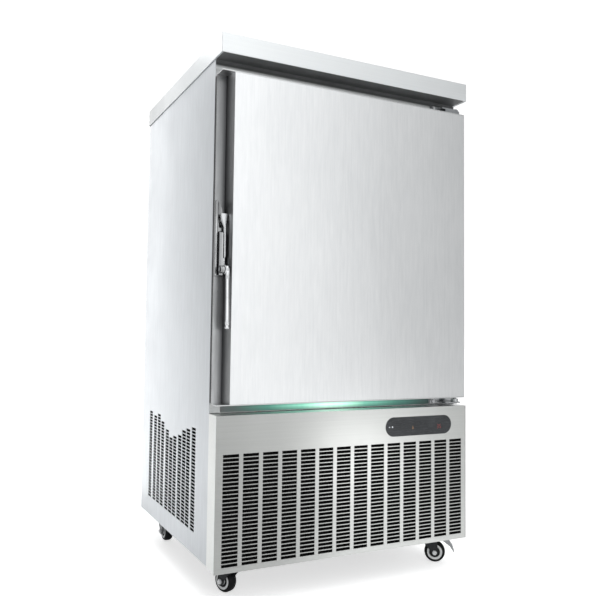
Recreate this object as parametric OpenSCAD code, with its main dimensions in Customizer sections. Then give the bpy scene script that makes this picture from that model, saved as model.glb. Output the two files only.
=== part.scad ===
// Upright blast chiller on four swivel castors: one insulated chamber with a
// full overlay door, a refrigeration compartment behind a slotted lower panel,
// and a flat worktop. Millimetres. +Z up, the door faces -Y, the origin is on
// the floor under the middle of the cabinet.

/* [Overall] */
// Width across the worktop
overall_w = 800; // [780:5:860]
// Depth of the worktop, front to back
overall_d = 735; // [735:5:800]
// Height from the floor to the worktop
overall_h = 1465; // [1465:5:1500]

/* [Castors] */
// Height from the floor to the castor's top plate
castor_h = 90; // [90:1:92]
// Wheel diameter
wheel_d = 62; // [60:1:62]
// Wheel width
wheel_w = 28; // [24:1:28]
// Distance from the swivel axis to the wheel axle
castor_trail = 20; // [18:1:21]
// Distance of the front castors from the front plane
castor_inset_f = 98; // [96:1:120]
// Distance of the rear castors from the rear edge of the worktop
castor_inset_r = 80; // [78:1:100]
// Distance of the right and rear castors from the middle plane
castor_x = 332; // [320:1:334]
// Distance of the front left castor from the middle plane
castor_x_fl = 312; // [310:1:334]

/* [Worktop] */
// Thickness of the folded worktop
top_t = 53; // [40:1:60]
// Worktop overhang in front of the cabinet body
top_overhang = 57; // [56:1:58]

/* [Door] */
// Lower edge of the door above the floor
door_z0 = 503; // [503:1:505]
// Upper edge of the door above the floor
door_z1 = 1368; // [1360:1:1369]
// Thickness of the door without its seal
door_t = 46; // [44:1:46]
// Width of the grip channel at the front of the door
channel_w = 35; // [30:1:38]
// Distance of the hinge line from the middle plane
hinge_x = 372; // [370:1:374]

/* [Chamber] */
// Half width of the chamber opening
chamber_hw = 332; // [325:1:332]
// Chamber floor above the ground
chamber_z0 = 550; // [548:1:560]
// Chamber ceiling above the ground
chamber_z1 = 1322; // [1310:1:1324]
// Number of tray levels
levels = 10; // [6:1:10]
// Distance between tray levels
level_pitch = 72; // [65:1:72]

/* [Front grille] */
// Columns of slots
grille_cols = 14; // [8:1:14]
// Rows of slots
grille_rows = 28; // [10:1:28]
// Slot length
slot_w = 43.5; // [30:0.5:46]
// Slot height
slot_h = 7.7; // [4:0.1:7.8]
// Distance between columns
slot_px = 54.85; // [50:0.05:55]
// Distance between rows
slot_pz = 10.05; // [9:0.05:10.1]

/* [Side vents] */
// Slot length in the side vents
vent_w = 34; // [20:1:36]
// Slot height in the side vents
vent_h = 7; // [3:0.1:7.2]
// Distance between rows in the side vents
vent_pz = 9.3; // [8.5:0.05:9.3]

/* [Hidden] */
$fn = 48;
e = 0.01;
yf = -overall_d/2;          // front plane: worktop, door and lower panel
yb = overall_d/2;           // rear edge of the worktop
hw = overall_w/2;
pw = hw - 3;                // half width of the cabinet body
yc = yf + top_overhang;     // front of the cabinet body
yr = yb - 4;                // rear of the cabinet body
top_z0 = overall_h - top_t; // underside of the worktop
foam_z1 = top_z0 - 8;       // top of the insulated box
foam_z0 = 500;
door_w0 = -pw;              // door's handle side edge
door_w1 = hw - 8;           // door's hinge side edge
hinge_y = yf + 22;
chamber_yb = yb - 67;       // rear wall of the chamber
lower_z1 = 479;             // top of the lower front panel
lever_z = 850;              // height of the latch pivot
lever_y = yf + 15;
fan_z = [745, 1127];
cover_y = yf + 482;
grille_z0 = 106;          // centre of the lowest row of slots
stainless = [0.80, 0.81, 0.82];

// ---------- helpers ----------
// Box between two corners
module bx(a, b) { translate(a) cube(b - a); }
// Cylinder along X, Y
module cyx(p, r, l) { translate(p) rotate([0, 90, 0]) cylinder(r = r, h = l); }
module cyy(p, r, l) { translate(p) rotate([-90, 0, 0]) cylinder(r = r, h = l); }
// Plate in the XZ plane: its 2D outline is drawn as x, z
module plate_xz(y, t) { translate([0, y + t, 0]) rotate([90, 0, 0]) linear_extrude(t) children(); }
// Plate in the YZ plane: its 2D outline is drawn as y, z
module plate_yz(x, t) { translate([x, 0, 0]) rotate([90, 0, 90]) linear_extrude(t) children(); }
module stadium(w, h) {
  square([w - h, h], center = true);
  for (s = [-1, 1]) translate([s*(w - h)/2, 0]) circle(d = h);
}

// ---------- worktop ----------
module worktop() {
  color(stainless) difference() {
    bx([-hw, yf, top_z0], [hw, yb, overall_h]);
    bx([-hw + 1.5, yf + 1.5, top_z0 - 1], [hw - 1.5, yb - 1.5, overall_h - 1.5]);
  }
}
// Board core of the worktop, stepped down onto the body as a plinth
module worktop_core() {
  color([0.16, 0.17, 0.17]) {
    bx([-hw + 1.5, yf + 1.5, top_z0 + 1.2], [hw - 1.5, yb - 1.5, overall_h - 1.5]);
    bx([-pw + 2, yc + 3, foam_z1], [pw - 2, yr - 2, top_z0 + 2]);
  }
}

// ---------- body panels ----------
// Side vent: distance of each column from the body's front, and how many
// slots the column is shorter than the tallest one
vent_cols = [[121, 0], [169, 1], [208, 2], [248.5, 4], [296.5, 5], [336.5, 6],
             [376.5, 4], [428, 2.0], [470.5, 0], [514, 1], [566.5, 0]];
vent_z0 = 155.3;
vent_rows = 30;
module side_outline() {
  difference() {
    translate([yc, castor_h + 3]) square([yr - yc, top_z0 - castor_h - 3]);
    for (c = vent_cols) for (k = [0 : vent_rows - 1 - c[1]])
      translate([yc + c[0] - vent_w/2, vent_z0 + k*vent_pz - vent_h/2]) square([vent_w, vent_h]);
  }
}
module side_panel(s) {
  color(stainless) plate_yz(s > 0 ? pw - 1.4 : -pw, 1.4) side_outline();
}
module rear_upper_panel() {
  color(stainless) bx([-pw + 1.6, yr - 1.6, 480], [pw - 1.6, yr - 0.2, top_z0 - 0.2]);
}
module rear_vent_panel() {
  color(stainless) plate_xz(yr - 1.6, 1.4) difference() {
    translate([-pw + 1.6, castor_h + 2]) square([2*pw - 3.2, 479.5 - castor_h - 2]);
    for (i = [0 : 7]) for (k = [0 : 15])
      translate([-315 + i*80, 150 + k*16]) square([70, 8]);
    translate([-300, 438]) circle(d = 16);
  }
}
// Face frame round the chamber opening: four folded strips
module front_frame() {
  color([0.62, 0.63, 0.64]) {
    bx([-pw + 1.6, yc, chamber_z1], [pw - 1.6, yc + 1.5, foam_z1]);
    bx([-pw + 1.6, yc, 480], [pw - 1.6, yc + 1.5, chamber_z0]);
    for (s = [-1, 1]) translate([s*(chamber_hw + pw - 1.6)/2, yc + 0.75, (chamber_z0 + chamber_z1)/2])
      cube([pw - 1.6 - chamber_hw, 1.5, chamber_z1 - chamber_z0 - 0.4], center = true);
  }
}
module base_rails() {
  z0 = castor_h; z1 = castor_h + 30; y0 = yf + 3; y1 = yr - 4; x1 = pw - 3;
  color([0.35, 0.36, 0.37]) {
    for (s = [-1, 1]) difference() {
      bx([s > 0 ? x1 - 120 : -x1, yf + 40, z0], [s > 0 ? x1 : -x1 + 120, y1 - 32, z1]);
      bx([s > 0 ? x1 - 117.5 : -x1 + 2.5, yf + 39, z0 + 2.5], [s > 0 ? x1 - 2.5 : -x1 + 117.5, y1 - 31, z1 - 2.5]);
    }
    bx([-x1, y1 - 31.8, z0], [x1, y1, z1]);
    bx([-x1, yf + 9, z0], [x1, yf + 39.8, z1]);
  }
}
module base_plate() {
  color([0.55, 0.56, 0.57]) bx([-pw + 3, yf + 9, castor_h + 30.1], [pw - 3, yr - 4, castor_h + 32]);
}

// ---------- insulation and liner ----------
module cabinet_foam() {
  x1 = pw - 1.6; y0 = yc + 1.6; y1 = yr - 1.8;
  color([0.93, 0.88, 0.70]) {
    for (s = [-1, 1]) translate([s*(x1 + chamber_hw + 0.9)/2, (y0 + y1)/2, (foam_z0 + foam_z1)/2])
      cube([x1 - chamber_hw - 0.9, y1 - y0, foam_z1 - foam_z0], center = true);
    bx([-chamber_hw - 0.8, y0, chamber_z1 + 0.9], [chamber_hw + 0.8, y1, foam_z1]);
    bx([-chamber_hw - 0.8, y0, foam_z0], [chamber_hw + 0.8, y1, chamber_z0 - 0.9]);
    bx([-chamber_hw - 0.8, chamber_yb + 0.9, chamber_z0 - 0.8], [chamber_hw + 0.8, y1, chamber_z1 + 0.8]);
  }
}
module inner_liner() {
  t = 0.8;
  color(stainless) difference() {
    bx([-chamber_hw - t, yc + 1.6, chamber_z0 - t], [chamber_hw + t, chamber_yb + t, chamber_z1 + t]);
    bx([-chamber_hw, yc, chamber_z0], [chamber_hw, chamber_yb, chamber_z1]);
  }
}

// ---------- lower front panel and controls ----------
win_x = 225.7; win_z = 426.5; win_w = 232; win_h = 54;
module lower_front_panel() {
  z0 = castor_h - 3; y0 = yf + 0.8;
  color(stainless) {
    difference() {
      union() {
        bx([-pw, y0, z0], [pw, y0 + 1.5, lower_z1]);
        for (s = [-1, 1]) translate([s*(pw - 0.75), (y0 + yc - 0.3)/2, (z0 + lower_z1)/2])
          cube([1.5, yc - 0.3 - y0, lower_z1 - z0], center = true);
        bx([-pw, y0, lower_z1 - 1.5], [pw, yc - 0.3, lower_z1]);
        bx([-pw, y0, z0], [pw, yf + 8, z0 + 1.5]);
      }
      for (i = [0 : grille_cols - 1]) for (k = [0 : grille_rows - 1])
        translate([(i - (grille_cols - 1)/2)*slot_px - slot_w/2 + 0.9, y0 - 1, grille_z0 + k*slot_pz - slot_h/2])
          cube([slot_w, 4, slot_h]);
      translate([win_x, y0 + 3, win_z]) rotate([90, 0, 0]) linear_extrude(5) stadium(win_w + 0.4, win_h + 0.4);
    }
  }
}
module control_window() {
  color([0.06, 0.06, 0.07]) translate([win_x, yf + 3.4, win_z]) rotate([90, 0, 0]) linear_extrude(3.2) stadium(win_w, win_h);
}
module control_board() {
  color([0.05, 0.30, 0.14]) {
    bx([win_x - 108, yf + 12, win_z - 23], [win_x + 108, yf + 13.6, win_z + 23]);
    bx([win_x + 38, yf + 4.5, win_z - 15], [win_x + 98, yf + 12.1, win_z + 9]);
    for (x = [-106, -96, -24]) cyy([win_x + x + 2, yf + 6, win_z], 2, 6.2);
    bx([win_x - 70, yf + 13.5, win_z - 15], [win_x - 20, yf + 26, win_z + 15]);
  }
}
module status_light_bar() {
  color([0.15, 0.85, 0.45]) bx([-366, yc - 3.1, 482], [300, yc - 0.1, 500]);
}

// ---------- hinges ----------
pin_d = 10;
module lower_hinge_bracket() {
  // shelf and boss under the door, with a leaf bolted to the face frame
  color([0.72, 0.73, 0.74]) difference() {
    union() {
      bx([328, yf + 9, 486], [384, yc - 0.1, 490]);
      bx([304, yc - 4, 482], [384, yc - 0.1, 499]);
      translate([hinge_x, hinge_y, 486]) cylinder(d = 22, h = 12.5);
    }
    translate([hinge_x, hinge_y, 440]) cylinder(d = pin_d + 0.1, h = 80);
  }
}
module upper_hinge_bracket() {
  // block over the door under a thinner shelf, with its leaf on the top rail
  color([0.42, 0.43, 0.44]) difference() {
    union() {
      bx([330, yf + 13, 1371.5], [383, yf + 40, 1381]);
      bx([318, yf + 13, 1381 - e], [378, yc - 0.1, 1385]);
      bx([304, yc - 4, 1374], [378, yc - 0.1, 1398]);
    }
    translate([hinge_x, hinge_y, 1360]) cylinder(d = pin_d + 0.1, h = 80);
  }
}
module hinge_pins() {
  color([0.55, 0.56, 0.58]) {
    translate([hinge_x, hinge_y, 484]) cylinder(d = pin_d, h = 42);
    translate([hinge_x, hinge_y, 484]) cylinder(d = 16, h = 1.9);
    translate([hinge_x, hinge_y, 1345]) cylinder(d = pin_d, h = 42);
    translate([hinge_x, hinge_y, 1385.1]) cylinder(d = 16, h = 1.9);
  }
}
module door_bushes() {
  color([0.92, 0.92, 0.90]) for (z = [door_z0 - 0.6 + 0.6, door_z1 - 24])
    translate([hinge_x, hinge_y, z]) difference() {
      cylinder(d = 16, h = 24);
      translate([0, 0, -1]) cylinder(d = pin_d + 0.1, h = 26);
    }
}

// ---------- door ----------
dz0 = door_z0 + 3; dz1 = door_z1 - 3;
chx = -pw + channel_w;      // front edge of the grip channel
cry = yf + 41;              // back wall of the channel
crx = chx - 9;              // corner of the channel
module door_skin() {
  color(stainless) translate([0, 0, dz0]) linear_extrude(dz1 - dz0)
    polygon([[chx, yf + 0.3], [door_w1, yf + 0.3], [door_w1, yf + door_t - 1.2], [door_w1 - 1.2, yf + door_t - 1.2],
             [door_w1 - 1.2, yf + 1.5], [chx, yf + 1.5]]);
}
module door_channel() {
  color([0.5, 0.5, 0.51]) difference() {
    translate([0, 0, dz0]) linear_extrude(dz1 - dz0)
      polygon([[chx, yf + 1.6], [crx, cry], [-pw, cry], [-pw, yf + door_t - 1.2], [-pw + 1.5, yf + door_t - 1.2],
               [-pw + 1.5, cry + 1.5], [crx + 1, cry + 1.5], [chx + 1.6, yf + 1.6]]);
    bx([-387.5, cry - 2, 960], [-380.5, cry + 6, 986]);
  }
}
module door_foam() {
  y0 = yf + 1.6; y1 = yf + door_t - 1.3;
  color([0.93, 0.88, 0.70]) {
    difference() {
      translate([0, 0, dz0 + 0.1]) linear_extrude(dz1 - dz0 - 0.2)
        polygon([[chx + 2, y0], [door_w1 - 1.3, y0], [door_w1 - 1.3, y1], [crx + 1.4, y1]]);
      for (z = [door_z0 - 2, door_z1 - 28]) translate([hinge_x, hinge_y, z]) cylinder(d = 16.2, h = 30);
    }
    bx([-320.5, yf + door_t, 562], [320.5, yf + 64.6, 1310]);
  }
}
module door_inner_pan() {
  y0 = yf + door_t - 1.2; y1 = yf + door_t;
  color(stainless) difference() {
    union() {
      bx([-pw, y0, dz0], [door_w1, y1, dz1]);
      bx([-322, y1 - e, 560.5], [322, yf + 66, 1311.5]);
    }
    bx([-320.6, y0 - 1, 561.9], [320.6, yf + 64.8, 1310.1]);
    bx([-387.5, y0 - 2, 960], [-380.5, y1 + 2, 986]);
  }
}
module door_cap(z) {
  color(stainless) difference() {
    bx([-pw, yf + 0.3, z], [door_w1, yf + door_t, z + 3]);
    translate([hinge_x, hinge_y, z - 1]) cylinder(d = 16.2, h = 5);
  }
}
// Magnetic seal: four lengths, each kept clear of its neighbours at the mitres,
// and a plain lip at the latch side
module door_gasket() {
  x1 = 370; z0 = 527; z1 = 1344; w = 18; y0 = yf + door_t + 0.05; y1 = yc - 0.3;
  color([0.10, 0.10, 0.11]) {
    for (s = [-1, 1]) translate([s*(x1 - w/2), (y0 + y1)/2, (z0 + z1)/2]) cube([w, y1 - y0, z1 - z0], center = true);
    for (z = [z0, z1 - w]) bx([-x1 + w + 0.1, y0, z], [x1 - w - 0.1, y1, z + w]);
    // lip that closes the gap along the latch side
    bx([-pw + 0.3, y0, 507], [-392.4, y1, 1364]);
  }
}

// ---------- latch ----------
module latch_housing() {
  color([0.85, 0.86, 0.87]) difference() {
    union() {
      // back plate, its head sloping down to the right
      plate_xz(cry - 4, 3.9) polygon([[-396.3, 835], [-373, 835], [-373, 997], [-383, 1020], [-387.5, 1029], [-390, 1032],
                                      [-392.5, 1033.6], [-395, 1032.6], [-396.3, 1030]]);
      // flange along its left edge, and a raised cover beside it
      plate_xz(cry - 9, 5 + e) polygon([[-396.3, 835], [-392.4, 835], [-392.4, 1030.4], [-393.8, 1031.8], [-395.4, 1030.8], [-396.3, 1029]]);
      plate_xz(cry - 6.5, 2.5 + e) polygon([[-389.6, 836.5], [-374.4, 836.5], [-374.4, 995], [-384, 1016.6], [-388, 1025], [-389.6, 1026]]);
      // post that carries the pivot, rounded at the top
      plate_yz(-390, 10) { translate([yf + 20, 836]) square([17.2, 105]); translate([yf + 28.6, 941]) circle(r = 8.6); }
      plate_yz(-390, 10) { translate([lever_y, lever_z]) circle(r = 10); translate([lever_y, 840]) square([10, 20]); }
    }
    cyx([-398, lever_y, lever_z], 3, 40);
    bx([-387.5, cry - 8, 960], [-380.5, cry + 2, 986]);
  }
}
module latch_pin() {
  color([0.75, 0.76, 0.77]) {
    cyx([-390.8, lever_y, lever_z], 2.95, 22.4);
    cyx([-368.5, lever_y, lever_z], 5, 1.6);
    cyx([-392.2, lever_y, lever_z], 5, 1.6);
  }
}
module latch_lever() {
  // hub with a short nose, and the hanging handle bowed towards the front
  color([0.88, 0.89, 0.90]) difference() {
    union() {
      plate_yz(-378.6, 9.6) {
        translate([lever_y, lever_z]) circle(r = 12.4);
        polygon([[lever_y - 9, lever_z + 6], [lever_y + 4, lever_z + 11], [lever_y - 1, lever_z + 14.6], [lever_y - 6, lever_z + 14]]);
      }
      plate_yz(-377.6, 12.4) {
        polygon([[lever_y - 12, lever_z + 2], [lever_y - 4, lever_z - 2], [yf + 12.5, lever_z - 20], [yf + 11, 800], [yf + 8, 740],
                 [yf + 7, 706], [yf + 1.2, 706], [yf + 1, 740], [yf + 3.2, 800], [yf + 4, lever_z - 16]]);
        translate([yf + 5.6, 701]) circle(r = 5);
      }
    }
    cyx([-398, lever_y, lever_z], 3, 40);
    cyx([-368.95, lever_y, lever_z], 5.1, 6);
  }
}
// Sliding bar behind the lever. Its head narrows downwards, and a hooked finger
// goes through the edge of the door and up behind the bar of the strike
module latch_bolt() {
  color([0.60, 0.61, 0.62]) {
    plate_xz(yf + 19.5, 8) polygon([[-388.5, 996], [-368.6, 996], [-368.6, 978], [-371.5, 957], [-371.5, 880], [-378, 880], [-378.8, 961], [-388.5, 977]]);
    bx([-378, yf + 27.5 - e, 846], [-372, yf + 32.5, 892]);
    bx([-386.5, yf + 27.5 - e, 975], [-381.5, yc - 2.6, 981]);
    bx([-386.5, yc - 5.6, 981 - e], [-381.5, yc - 2.6, 989.5]);
  }
}
module strike_plate() {
  color([0.60, 0.61, 0.62]) {
    difference() {
      union() {
        bx([-392, yc - 2.2, 948], [-376, yc - 0.1, 1014]);
        bx([-391, yc - 9, 982.5], [-377, yc - 2.1, 993]);
      }
      bx([-388.7, yc - 6, 970], [-379.3, yc - 2.25, 1000]);
    }
  }
}

// ---------- chamber fittings ----------
module tray_rack(s) {
  y0 = yc + 25; y1 = cover_y - 6; z0 = chamber_z0 + 8;
  color([0.78, 0.79, 0.80]) {
    for (y = [y0 + 40, y1 - 60]) translate([s*(chamber_hw - 3.2), y + 10, (z0 + chamber_z1 - 12)/2])
      cube([5, 20, chamber_z1 - 12 - z0], center = true);
    for (k = [0 : levels - 1]) translate([s*(chamber_hw - 22.8), (y0 + y1)/2, z0 + 24 + k*level_pitch])
      cube([34, y1 - y0, 3], center = true);
  }
}
module evaporator_cover() {
  color(stainless) plate_xz(cover_y, 1.2) difference() {
    translate([-chamber_hw + 0.5, chamber_z0 + 0.5]) square([2*chamber_hw - 1, chamber_z1 - chamber_z0 - 1]);
    for (z = fan_z) translate([0, z]) circle(d = 256);
    for (s = [-1, 1]) for (k = [0 : 17]) translate([s*250 - 45, 590 + k*40]) square([90, 14]);
  }
}
module fan_rotor(r, hub_r, h, blades) {
  // axis along +Y, drawn from y = 0 to y = h
  rotate([-90, 0, 0]) {
    cylinder(r = hub_r, h = h);
    for (i = [0 : blades - 1]) rotate([0, 0, i*360/blades])
      translate([hub_r - 3, 0, h/2]) rotate([32, 0, 0]) translate([0, -r*0.30, -1])
        linear_extrude(2) polygon([[0, r*0.18], [r - hub_r - 2, 0], [r - hub_r, r*0.30], [r - hub_r - 3, r*0.56], [0, r*0.42]]);
  }
}
module evap_fan(z) { color([0.12, 0.12, 0.13]) translate([0, cover_y + 8, z]) fan_rotor(118, 34, 40, 5); }
module evap_fan_motors() {
  color([0.30, 0.31, 0.32]) for (z = fan_z) {
    cyy([0, cover_y + 49, z], 40, 45);
    for (s = [-1, 1]) difference() {
      bx([s > 0 ? 30 : -150, cover_y + 60, z - 7], [s > 0 ? 150 : -30, cover_y + 63, z + 7]);
      cyy([0, cover_y + 55, z], 39, 15);
    }
    for (s = [-1, 1]) bx([s > 0 ? 141 : -150, cover_y + 1.3, z - 7], [s > 0 ? 150 : -141, cover_y + 60.2, z + 7]);
  }
}
module fan_guards() {
  color([0.75, 0.76, 0.77]) for (z = fan_z) translate([0, cover_y - 4.72, z]) rotate([-90, 0, 0]) {
    for (r = [34, 62, 90, 118, 140]) rotate_extrude() translate([r, 2.5]) circle(r = 1.7, $fn = 16);
    for (a = [0 : 45 : 315]) rotate([0, 0, a]) translate([32, 0, 3.2]) rotate([0, 90, 0]) cylinder(r = 1.5, h = 108, $fn = 16);
  }
}
module evaporator_coil() {
  y0 = chamber_yb - 78; y1 = chamber_yb - 14;
  color([0.72, 0.74, 0.76]) {
    difference() {
      bx([-268, y0, 606], [268, y1, 1276]);
      for (k = [0 : 43]) bx([-262 + k*12, y0 - 1, 604], [-255 + k*12, y0 + 6, 1278]);
    }
    for (s = [-1, 1]) bx([s > 0 ? 268 : -270, y0 - 4, 600], [s > 0 ? 270 : -268, y1 + 4, 1282]);
    for (s = [-1, 1]) for (k = [0 : 15]) translate([s*270, (y0 + y1)/2, 630 + k*41]) rotate([90, 0, s > 0 ? 0 : 180])
      rotate_extrude(angle = 180) translate([16, 0]) circle(r = 4.5, $fn = 16);
  }
}

// ---------- refrigeration compartment ----------
mz = castor_h + 32.1;       // top of the compartment floor
module compressor() {
  color([0.10, 0.10, 0.11]) translate([-210, 175, 0]) {
    difference() {
      translate([0, 0, mz + 14]) rotate_extrude($fn = 64)
        polygon([[0, 0], [70, 0], [84, 10], [88, 30], [88, 78], [92, 80], [92, 86], [88, 88], [86, 130], [74, 158], [48, 174], [0, 180]]);
      translate([-52, -15, mz + 167.95]) cylinder(r = 5.05, h = 60);
    }
    difference() {
      translate([-105, -85, mz + 10]) cube([210, 170, 4.2]);
      for (x = [-90, 90]) for (y = [-70, 70]) translate([x, y, mz]) cylinder(d = 9, h = 30);
    }
    for (x = [-90, 90]) for (y = [-70, 70]) translate([x, y, mz]) difference() {
      cylinder(d = 24, h = 9.9);
      translate([0, 0, -1]) cylinder(d = 9, h = 14);
    }
    translate([60, -22, mz + 52]) cube([62, 44, 38]);
  }
}
cond_y = yf + 40;
module condenser_coil() {
  color([0.12, 0.12, 0.13]) {
    difference() {
      bx([-300, cond_y, mz + 1], [120, cond_y + 52, 440]);
      for (k = [0 : 51]) bx([-296 + k*8, cond_y - 1, mz], [-291 + k*8, cond_y + 5, 441]);
    }
    for (s = [-1, 1]) bx([s > 0 ? 120 : -302, cond_y - 4, mz + 0.1], [s > 0 ? 122 : -300, cond_y + 56, 446]);
    for (k = [0 : 8]) translate([-302, cond_y + 26, mz + 22 + k*32]) rotate([90, 0, 180])
      rotate_extrude(angle = 180) translate([12, 0]) circle(r = 4.5, $fn = 16);
  }
}
fan2_x = -90; fan2_z = 285;
module condenser_shroud() {
  color([0.70, 0.71, 0.72]) plate_xz(cond_y + 62, 1.4) difference() {
    translate([-302, mz + 0.1]) square([424, 446 - mz - 0.1]);
    translate([fan2_x, fan2_z]) circle(d = 292);
  }
}
module condenser_fan() { color([0.15, 0.15, 0.16]) translate([fan2_x, cond_y + 66, fan2_z]) fan_rotor(138, 36, 40, 5); }
module condenser_fan_motor() {
  y0 = cond_y + 107;
  color([0.22, 0.22, 0.23]) {
    cyy([fan2_x, y0, fan2_z], 43, 52);
    for (s = [-1, 1]) difference() {
      bx([fan2_x + (s > 0 ? 30 : -170), y0 + 20, fan2_z - 8], [fan2_x + (s > 0 ? 170 : -30), y0 + 23, fan2_z + 8]);
      cyy([fan2_x, y0, fan2_z], 42, 60);
    }
    for (s = [-1, 1]) bx([fan2_x + (s > 0 ? 158 : -170), cond_y + 63.5, fan2_z - 8], [fan2_x + (s > 0 ? 170 : -158), y0 + 20.2, fan2_z + 8]);
  }
}
module electrical_box() {
  color([0.60, 0.61, 0.62]) {
    difference() {
      bx([216, 42, 258], [362, 188, 400]);
      bx([218, 40, 260], [360, 186, 398]);
    }
    bx([215.8, 39, 257.8], [362.2, 41.9, 400.2]);
    bx([236, 80, mz], [262, 130, 258.1]);
    bx([316, 80, mz], [342, 130, 258.1]);
  }
}
module liquid_receiver() {
  color([0.10, 0.10, 0.11]) {
    translate([40, 200, mz]) rotate_extrude($fn = 48)
      polygon([[0, 0], [44, 0], [44, 6], [40, 8], [48, 20], [48, 190], [40, 206], [0, 214]]);
    translate([140, 250, mz + 60]) cylinder(r = 26, h = 110);
    translate([140, 250, mz]) cylinder(r = 7, h = 61);
  }
}
// Copper lines between the compressor, the coils and the receiver
module pipe_z(p, l) { translate(p) cylinder(r = 5, h = l, $fn = 24); }
module bend(p, a) { translate(p) rotate(a) rotate_extrude(angle = 90, $fn = 48) translate([22, 0]) circle(r = 5, $fn = 24); }
module refrigerant_pipes() {
  color([0.72, 0.43, 0.25]) {
    // discharge line from the compressor's shoulder, forward over the shroud
    pipe_z([-262, 160, mz + 168], 96);
    bend([-262, 160 - 22, mz + 264], [90, 0, 90]);
    translate([-262, 160 - 22, mz + 286]) rotate([90, 0, 0]) cylinder(r = 5, h = 300, $fn = 24);
    // suction riser into the chamber floor
    pipe_z([-330, 300, mz + 40], foam_z0 - mz - 40.2);
    // liquid riser above the filter
    pipe_z([140, 250, mz + 170.2], foam_z0 - mz - 170.4);
    // drain tube from the chamber floor
    translate([0, 290, mz + 60]) cylinder(r = 12, h = foam_z0 - mz - 60.2, $fn = 32);
  }
}
module cable_gland() {
  color([0.12, 0.12, 0.13]) translate([-300, yr - 0.1, 438]) rotate([-90, 0, 0]) difference() {
    union() {
      translate([0, 0, -22]) cylinder(d = 15.6, h = 22.2);
      cylinder(d = 24, h = 3.9, $fn = 6);
      translate([0, 0, -8]) cylinder(d = 24, h = 5.5, $fn = 6);
    }
    translate([0, 0, -30]) cylinder(d = 11, h = 50);
  }
}
// Screws: rear panels, hinge brackets and the latch side of the worktop
module screw_y(p, s) { translate(p) rotate([s*90, 0, 0]) { cylinder(d1 = 9, d2 = 6, h = 2.2, $fn = 24); } }
module panel_screws() {
  color([0.70, 0.71, 0.72]) {
    for (s = [-1, 1]) for (z = [130, 300, 460, 520, 800, 1080, 1380]) screw_y([s*(pw - 14), yr - 0.15, z], -1);
    // hex bolts of the hinge leaves
    for (p = [[313, 490.5, 15], [313, 1391.5, 12], [340, 1391.5, 12], [366, 1391.5, 12]])
      translate([p[0], yc - 4, p[1]]) rotate([90, 0, 0]) {
        cylinder(d = p[2], h = 1.5, $fn = 32);
        cylinder(d = 0.8*p[2], h = 6, $fn = 6);
      }
  }
}

// ---------- castors ----------
// Local frame of a castor: swivel axis at the origin, wheel trailing along +X,
// axle along Y. Each one is turned about Z by its own angle.
cast = [[-castor_x_fl, yf + castor_inset_f, 114], [castor_x, yf + castor_inset_f, -38],
        [-castor_x - 2, yb - castor_inset_r, -87], [castor_x, yb - castor_inset_r, 60]];
module at_castor(i) { translate([cast[i][0], cast[i][1], 0]) rotate([0, 0, cast[i][2]]) children(); }
wr = wheel_d/2;
module castor_plates() {
  color([0.60, 0.61, 0.62]) for (i = [0 : 3]) translate([cast[i][0], cast[i][1], 0]) {
    difference() {
      translate([-36, -30, castor_h - 3]) cube([72, 60, 2.9]);
      for (x = [-27, 27]) for (y = [-21, 21]) translate([x, y, castor_h - 5]) cylinder(d = 7, h = 10);
    }
    translate([0, 0, castor_h - 9.6]) cylinder(d1 = 40, d2 = 48, h = 6.7);
    translate([0, 0, castor_h - 17]) cylinder(d = 10, h = 8);
  }
}
brake_x = 27.5; brake_z = 70.3;
module castor_fork(i) {
  g = wheel_w/2 + 3.5;      // inside of the fork's plates
  color([0.20, 0.21, 0.22]) at_castor(i) {
    difference() {
      union() {
        translate([0, 0, castor_h - 14.6]) cylinder(d = 46, h = 4.6);
        translate([-19, -g - 3, castor_h - 17.6]) cube([44, 2*g + 6, 3.1]);
        for (s = [-1, 1]) translate([0, s*(g + 1.5) + 1.5, 0]) rotate([90, 0, 0]) linear_extrude(3) {
          polygon([[-19, castor_h - 14.6], [25, castor_h - 14.6], [castor_trail + 11, wr + 4], [castor_trail + 11, wr],
                   [castor_trail - 11, wr], [castor_trail - 12, wr + 4], [-19, castor_h - 24]]);
          translate([castor_trail, wr]) circle(r = 11);
          if (i == 1 || i == 3) translate([brake_x, brake_z]) circle(r = 4);
        }
      }
      translate([0, 0, castor_h - 20]) cylinder(d = 10.2, h = 20);
      translate([castor_trail, 50, wr]) rotate([90, 0, 0]) cylinder(d = 8.1, h = 100);
    }
    // axle bolt with its two heads
    translate([castor_trail, g + 3.2, wr]) rotate([90, 0, 0]) cylinder(d = 8, h = 2*g + 6.4);
    if (i == 1 || i == 3) translate([brake_x, g + 4.6, brake_z]) rotate([90, 0, 0]) cylinder(d = 3, h = 2*g + 9.2);
    for (s = [0, 1]) mirror([0, s, 0]) {
      translate([castor_trail, g + 7.1, wr]) rotate([90, 0, 0]) cylinder(d = 14, h = 4, $fn = 6);
      translate([castor_trail, g + 9.5, wr]) rotate([90, 0, 0]) cylinder(d = 8, h = 2.5);
    }
  }
}
module castor_wheel(i) {
  w = wheel_w/2;
  color([0.05, 0.05, 0.05]) at_castor(i) translate([castor_trail, 0, wr]) rotate([90, 0, 0]) difference() {
    rotate_extrude($fn = 72) polygon([[4.05, -w], [9.5, -w], [10.5, -w + 3], [15.5, -w + 3], [16.5, -w + 1], [22, -w + 0.4], [23, -w + 1.4],
      [wr - 3, -w + 2.4], [wr - 0.6, -w + 6], [wr, -w + 10], [wr, w - 10], [wr - 0.6, w - 6], [wr - 3, w - 2.4], [23, w - 1.4],
      [22, w - 0.4], [16.5, w - 1], [15.5, w - 3], [10.5, w - 3], [9.5, w], [4.05, w]]);
  }
}
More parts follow.
